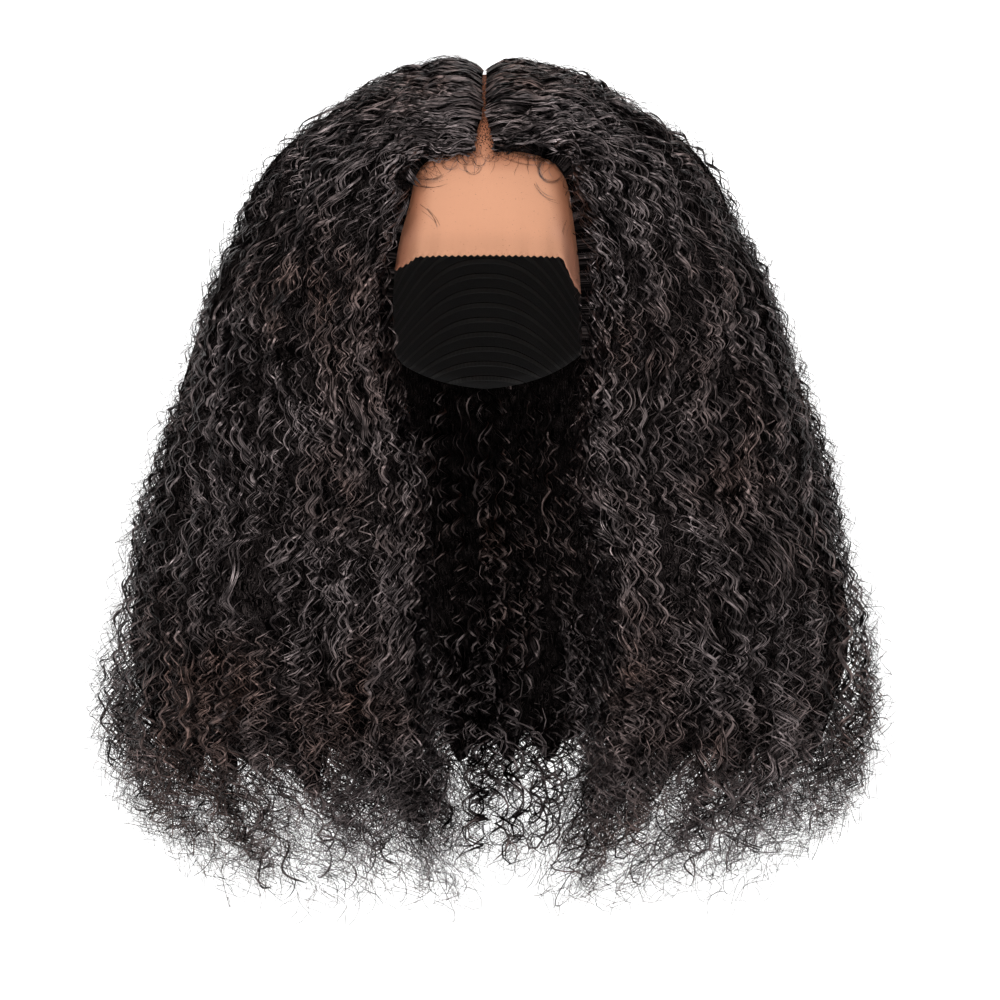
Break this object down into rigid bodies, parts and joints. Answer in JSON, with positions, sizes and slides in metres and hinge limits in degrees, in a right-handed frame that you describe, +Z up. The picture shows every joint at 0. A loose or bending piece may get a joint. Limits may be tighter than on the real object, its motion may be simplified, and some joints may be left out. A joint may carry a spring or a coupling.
{
  "type": "lace front wig",
  "caption": "Long, full, curly wig with a middle parting, a pinked lace front over the forehead and a net cap, open in front of the face.",
  "frame": {"origin": "the highest point inside the cap, which sits on the crown of the head", "axes": "+Z up; the face opening towards -Y; +X towards the right as seen from the front"},
  "size_m": [0.458, 0.2991, 0.4876],
  "materials": {
    "cap_net": "black stretch net",
    "lace": "fine tan see-through lace",
    "hair": "black curly hair with a soft shine"
  },
  "bodies": {
    "root": {"cap": "cap_net", "lace_front": "lace", "hair_left_front": "hair", "hair_left_side": "hair", "hair_left_back": "hair", "hair_right_front": "hair", "hair_right_side": "hair", "hair_right_back": "hair"}
  },
  "joints": []
}
